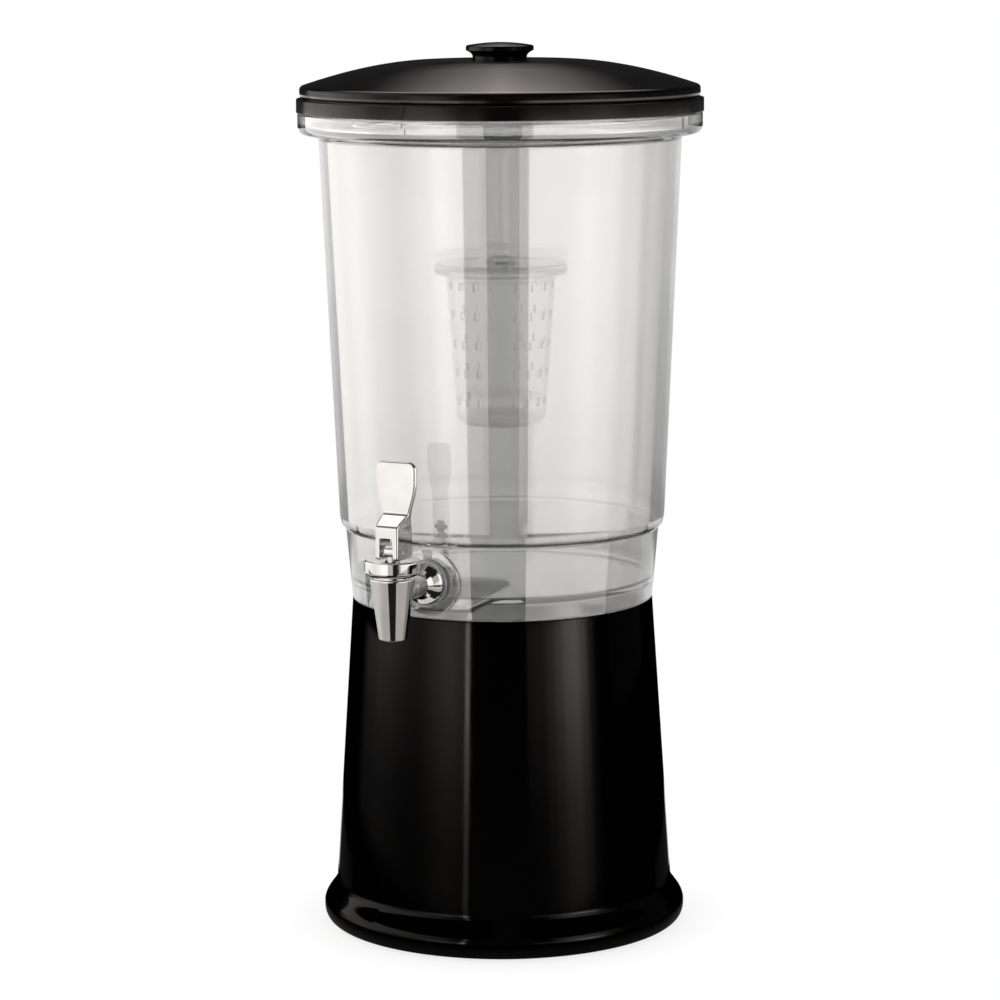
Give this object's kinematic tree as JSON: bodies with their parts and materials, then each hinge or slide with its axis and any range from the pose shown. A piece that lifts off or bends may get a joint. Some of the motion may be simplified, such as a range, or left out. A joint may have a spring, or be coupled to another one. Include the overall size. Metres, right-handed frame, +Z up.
{
  "type": "cold drink dispenser",
  "caption": "Clear tapered drink container on a round black stand, with a twist-lock domed lid that carries a slotted fruit infuser, and a sprung lever tap at the front.",
  "frame": {"origin": "on the table, on the container's axis", "axes": "+Z up along the container's axis, tap towards -Y, +X to the right of a person who faces the tap"},
  "size_m": [0.2786, 0.3142, 0.6118],
  "materials": {
    "black_plastic": "glossy moulded black",
    "black_lid_plastic": "satin gloss moulded black",
    "black_rubber": "matte",
    "clear_plastic": "clear, polished",
    "clear_silicone": "translucent, satin",
    "white_plastic": "moulded, satin",
    "chrome": "polished plate",
    "steel": "turned",
    "brass": "turned"
  },
  "bodies": {
    "stand_group": {"stand": "black_plastic", "foot_ring": "black_rubber"},
    "container_group": {"container": "clear_plastic", "tap_body": "chrome", "tap_bonnet": "chrome", "bonnet_gasket": "clear_silicone", "stem_seal": "black_rubber", "spring_washer": "steel", "return_spring": "steel", "outer_washer": "clear_silicone", "inner_washer": "clear_silicone", "lock_nut": "white_plastic"},
    "seal_ring": {"lid_seal": "clear_silicone"},
    "lid_group": {"lid": "black_lid_plastic", "knob": "black_lid_plastic", "knob_insert": "brass", "hanging_rod": "clear_plastic", "infuser_cap": "clear_plastic"},
    "basket": {"infuser_basket": "clear_plastic"},
    "valve": {"valve_stem": "steel", "valve_plug": "clear_silicone"},
    "lever": {"tap_lever": "chrome", "lever_pin": "steel"}
  },
  "joints": [
    {"name": "container_lift", "type": "slide", "parent": "stand_group", "child": "container_group", "axis": [0, 0, 1], "range_m": [0, 0.15]},
    {"name": "lid_lift", "type": "slide", "parent": "container_group", "child": "seal_ring", "axis": [0, 0, 1], "range_m": [0, 0.25]},
    {"name": "lid_twist", "type": "hinge", "parent": "seal_ring", "child": "lid_group", "pos_m": [0, 0, 0.575], "axis": [0, 0, -1], "range_deg": [0, 27]},
    {"name": "basket_pull", "type": "slide", "parent": "lid_group", "child": "basket", "axis": [0, 0, -1], "range_m": [0, 0.085]},
    {"name": "stem_lift", "type": "slide", "parent": "container_group", "child": "valve", "axis": [0, 0, 1], "range_m": [0, 0.00336], "deforming": ["return_spring"]},
    {"name": "lever_tilt", "type": "hinge", "parent": "valve", "child": "lever", "pos_m": [0, -0.15622, 0.2832], "axis": [1, 0, 0], "range_deg": [0, 35], "stiffness_Nm_per_rad": 0.03, "springref_deg": -51.57}
  ],
  "couplings": [
    {"joint": "lever_tilt", "follows": "stem_lift", "rad_per_m": 181.82}
  ]
}
